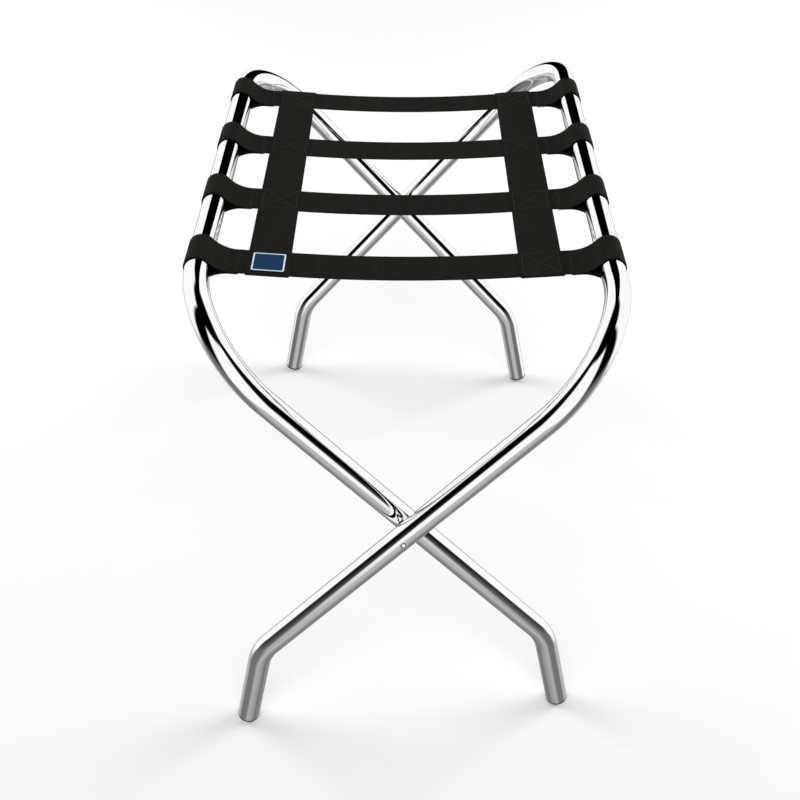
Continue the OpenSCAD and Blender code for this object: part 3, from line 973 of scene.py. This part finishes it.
# %% The white sky
world = bpy.data.worlds.new("sky")
bpy.context.scene.world = world
world.use_nodes = True
world.node_tree.nodes["Background"].inputs["Color"].default_value = (1, 1, 1, 1)
world.node_tree.nodes["Background"].inputs["Strength"].default_value = 1.0
print("sky strength 1.0")

# %% The shell's pattern
def gap(azimuth, middle, half, soft):
    """1 near the middle azimuth and 0 far from it, with a soft edge that lies half degrees away."""
    off = abs(azimuth - middle)
    return 1 - smooth(off, half - soft, half + soft)


def shell_material():
    """Black gaps, see-through walls and a grey floor, by the direction from the shell's middle.

    Azimuth is 0 behind the rack and 90 on its right, and elevation is above the horizon, in degrees.
    A side gap widens and blurs where it runs out over the floor, and turns towards the rack's rear where
    it is steepest below. The wall shines through as far as neither a gap nor the floor covers it, which
    is clear = (1-low)(1-sides)(1-top).
    """
    made = bpy.data.materials.new("studio_shell")
    made.use_nodes = True
    tree = made.node_tree
    tree.nodes.clear()
    wire = Wire(tree)
    at = wire.node("ShaderNodeTexCoord", output="Object")
    way = at.node("ShaderNodeVectorMath", {"operation": "NORMALIZE"}, {0: at})
    x, y, z = split(way)
    azimuth = x.math("ARCTAN2", x, y) * math.degrees(1)
    elevation = z.math("ARCSINE", z) * math.degrees(1)

    # The side gaps: each one's middle, half of its width and its softness, in degrees
    wide = smooth(elevation, -12, -26)
    steep = smooth(elevation, -50, -64)
    left = gap(azimuth, steep * 30 - 114.5, wide * 11 + 22.5, wide * 10 + 5)
    right = gap(azimuth, 122 - steep * 10, wide * 8.5 - steep * 6 + 22.5, wide * 9 + 5.5)
    sides = larger(left, right)
    top = smooth(elevation, 57.5, 66)

    # The floor's far edge, which is highest and softest behind the rack
    away = smooth(abs(azimuth), 18, 55)
    edge = -13.0 - away * 16 - gap(azimuth, 55, 30, 12) * 5
    soft = 11 - away * 6
    low = smooth(elevation, edge + soft, edge - soft)

    # How bright the gaps and the floor are, with a paler patch to the rear right and a dark one behind
    in_gap = smooth(elevation, 6, -24) * 0.155 + smooth(elevation, -28, -56) * 0.035
    on_floor = 0.48 - smooth(elevation, -44, -72) * 0.24
    on_floor = on_floor + gap(azimuth, 50, 30, 14) * smooth(elevation, -48, -36) * 0.1
    on_floor = on_floor - gap(azimuth, 0, 25, 10) * smooth(elevation, -46, -38) * 0.3

    clear = (1 - low) * (1 - sides) * (1 - top)
    lit = (in_gap * sides + on_floor * low * (1 - sides)) * (1 - top)
    opaque = larger(1 - clear, 0.001)
    seen = wire.node("ShaderNodeEmission", {}, {"Color": grey(lit / opaque)})
    unseen = wire.node("ShaderNodeBsdfTransparent")
    mixed = wire.node("ShaderNodeMixShader", {}, {0: opaque, 1: unseen, 2: seen})
    wire.node("ShaderNodeOutputMaterial", {}, {"Surface": mixed})
    return made

# %% The shell
def ball(radius, rows=49, cols=96):
    """Points radius (cos e sin a, cos e cos a, sin e), with the elevation e down the rows."""
    e = np.linspace(-np.pi / 2 + 0.001, np.pi / 2 - 0.001, rows)[:, None]
    a = np.linspace(0, 2 * np.pi, cols, endpoint=False)
    return radius * np.stack([np.cos(e) * np.sin(a), np.cos(e) * np.cos(a), np.sin(e) + 0 * a], -1)


grid = ball(30)
quads, _, _ = skin(*grid.shape[:2], wrap_cols=True)
shell = make_mesh("studio_shell", grid, [quads, end_caps(*grid.shape[:2])])
shell.data.materials.append(shell_material())
shell.visible_camera = False

# %% [markdown]
# In a studio, black boards called flags stand near a shiny thing and give it dark edges. This tall one
# stands behind the rack and narrows towards the floor. It is nearer than the shell, so from the left rail
# it is seen further to the right than from the right rail. Only reflections show it: it throws no shadow
# and the camera looks past it.

# %% The black flag
FLAG_Y, FLAG_T = 2.1, 0.01
FLAG_ROWS = np.array([(0.0, -0.05, 0.45), (1.25, -0.69, 0.99), (6.5, -0.69, 0.99)])  # height, left, right
z, left, right = FLAG_ROWS.T[..., None]
x = np.hstack([left, right, right, left])
y = FLAG_Y + FLAG_T * np.array([0, 0, 1, 1])
grid = np.stack(np.broadcast_arrays(x, y, z), -1)
quads, _, _ = skin(*grid.shape[:2], wrap_cols=True)
flag = make_mesh("studio_flag", grid, [quads, end_caps(*grid.shape[:2])])
black, _, _ = material("studio_flag", Roughness=1.0, Specular_IOR_Level=0.0, Base_Color=(0, 0, 0, 1))
flag.data.materials.append(black)
flag.visible_camera = flag.visible_diffuse = flag.visible_shadow = False

# %% [markdown]
# The floor is a plain pale disc. The lamps and the sky light it as they light the rack, and where
# the camera, a mirror or glass looks at it, a little white is added: that carries it up to
# the white of the backdrop, and the shadows of the rack stay. More of it is added far out, past the
# reach of the lamps, so that the floor runs into the backdrop. Chrome looks through it, down to the
# shell's grey floor.

# %% The floor
def floor_material():
    """Pale paint, with a white glow for those rays that should see the backdrop."""
    made, shader, wire = material(
        "floor", Roughness=0.9, IOR=1.3, Specular_IOR_Level=0.0, Base_Color=(0.9, 0.9, 0.902, 1),
        Emission_Strength=1.0)
    rays = ("Is Camera Ray", "Is Glossy Ray", "Is Transmission Ray")
    camera, mirror, glass = (wire.node("ShaderNodeLightPath", output=kind) for kind in rays)
    at = wire.node("ShaderNodeTexCoord", output="Object")
    distance = at.node("ShaderNodeVectorMath", {"operation": "LENGTH"}, {0: at}, output="Value")
    white = larger(larger(camera, mirror), glass) * smooth(distance, 1.8, 5.0, 0.06, 0.7)
    plug(shader, Emission_Color=grey(white))
    return made


def disc(radii, z, around=96):
    """Points (r cos t, r sin t, z), with a ring for each radius r."""
    t = np.linspace(0, 2 * np.pi, around, endpoint=False)
    flat = np.array(radii)[:, None, None] * np.stack([np.cos(t), np.sin(t)], -1)
    return np.concatenate([flat, np.full(flat.shape[:2] + (1,), z)], -1)


FLOOR_RADII = [0.001, 0.3, 0.8, 1.6, 2.8, 5.6]
FLOOR_Z = -0.0002  # just under the feet, so that the two surfaces don't coincide
grid = disc(FLOOR_RADII, FLOOR_Z)
quads, _, _ = skin(*grid.shape[:2], wrap_cols=True)
floor = make_mesh("floor", grid, [quads, end_caps(*grid.shape[:2])[:1]])
floor.data.materials.append(floor_material())
floor.visible_glossy = False

# %% [markdown]
# Three wide soft lamps light the rack from the sides and from above the camera. They throw the faint
# shadows that the feet stand in. Chrome mirrors only the shell and the flag, so the lamps are kept out
# of reflections.

# %% Three soft lamps
UP = np.array([0.0, 0.0, 1.0])
LAMP_AIM = 0.3 * UP


def lamp(name, azimuth, elevation, watts, wide=1.8, high=0.5, distance=3.0):
    """A lamp, wide by high metres, that faces LAMP_AIM and that chrome doesn't mirror."""
    data = bpy.data.lights.new(name, "AREA")
    data.shape = "RECTANGLE"
    data.energy, data.size, data.size_y = watts, wide, high
    thing = bpy.data.objects.new(name, data)
    a, e = math.radians(azimuth), math.radians(elevation)
    way = np.array([math.cos(e) * math.sin(a), math.cos(e) * math.cos(a), math.sin(e)])
    thing.location = way * distance + LAMP_AIM
    side = unit(np.cross(UP, way))
    basis = np.stack([side, np.cross(way, side), way], 1)
    thing.rotation_euler = Matrix(basis.tolist()).to_euler()
    thing.visible_glossy = False
    bpy.context.scene.collection.objects.link(thing)
    print(f"{name}: {watts} W from {azimuth} degrees round and {elevation} up")


lamp("front_lamp", 182, 52, 13)
lamp("left_lamp", -68, 18, 43)
lamp("right_lamp", 70, 18, 53)

# %% [markdown]
# ## The camera
# The camera stands a metre in front of the rack's middle and a metre up, and looks down at 40 degrees
# through a 49 mm lens.

# %% The camera
CAMERA_AT = (0.00123, -0.97985, 1.0094)
CAMERA_TURN = (50.031, 0.045, 0.351)
LENS, SENSOR = 49.27, 36

camera_data = bpy.data.cameras.new("camera")
camera_data.lens, camera_data.sensor_width = LENS, SENSOR
camera = bpy.data.objects.new("camera", camera_data)
camera.location = CAMERA_AT
camera.rotation_euler = [math.radians(a) for a in CAMERA_TURN]
bpy.context.scene.collection.objects.link(camera)
bpy.context.scene.camera = camera
bpy.context.scene.view_settings.view_transform = "Standard"
print("camera at", tuple(round(v, 3) for v in camera.location))
